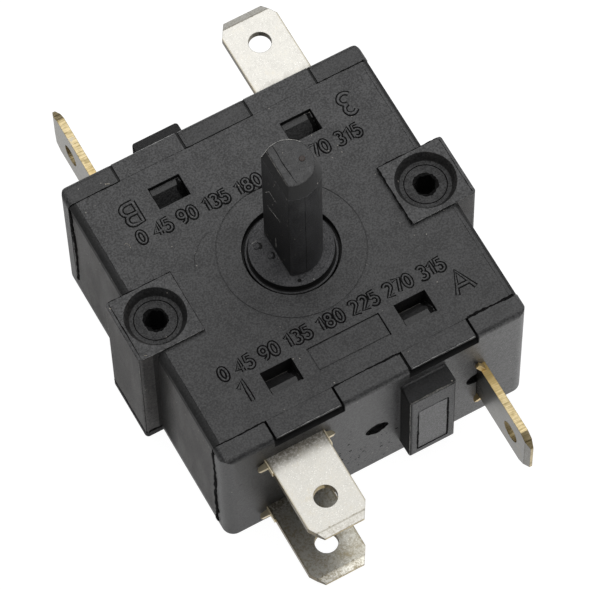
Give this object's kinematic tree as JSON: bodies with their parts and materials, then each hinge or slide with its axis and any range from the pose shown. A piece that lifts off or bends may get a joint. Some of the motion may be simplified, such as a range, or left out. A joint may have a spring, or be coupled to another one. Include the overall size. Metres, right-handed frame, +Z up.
{
  "type": "rotary selector switch",
  "caption": "Square snap-fit rotary selector switch with a D-flatted shaft, screw bosses at two sides and push-on blade terminals.",
  "frame": {"origin": "on the shaft axis, in the flat underside of the base", "axes": "+Z up the shaft, X through the two mounting bosses, -Y towards the wall with three terminals"},
  "size_m": [0.0374, 0.0555, 0.0358],
  "materials": {
    "housing_black": "fine moulded texture",
    "cover_black": "fine moulded texture",
    "shaft_black": "smooth moulded",
    "drum_white": "smooth moulded",
    "tinned_brass": "tin plated, matt, stamped edges bare",
    "spring_steel": "rolled strip",
    "spring_brass": "rolled strip",
    "contact_silver": "polished silver alloy"
  },
  "bodies": {
    "case": {"base_housing": "housing_black", "cover": "cover_black", "detent_spring_right": "spring_steel", "detent_spring_left": "spring_steel", "terminal_1": "tinned_brass", "terminal_2": "tinned_brass", "terminal_3": "tinned_brass", "terminal_a": "tinned_brass", "terminal_b": "tinned_brass", "fixed_contact_1": "contact_silver", "fixed_contact_2": "contact_silver", "fixed_contact_3": "contact_silver", "contact_arm_1": "spring_brass", "contact_arm_2": "spring_brass", "contact_arm_3": "spring_brass", "moving_contact_1": "contact_silver", "moving_contact_2": "contact_silver", "moving_contact_3": "contact_silver", "arm_rivet_1": "spring_brass", "arm_rivet_2": "spring_brass", "arm_rivet_3": "spring_brass"},
    "rotor": {"spindle": "shaft_black", "cam_drum": "drum_white"}
  },
  "joints": [
    {"name": "rotor_turn", "type": "hinge", "parent": "case", "child": "rotor", "pos_m": [0, 0, 0], "axis": [0, 0, 1], "continuous": true, "deforming": ["detent_spring_right", "detent_spring_left", "contact_arm_1", "contact_arm_2", "contact_arm_3"]}
  ]
}
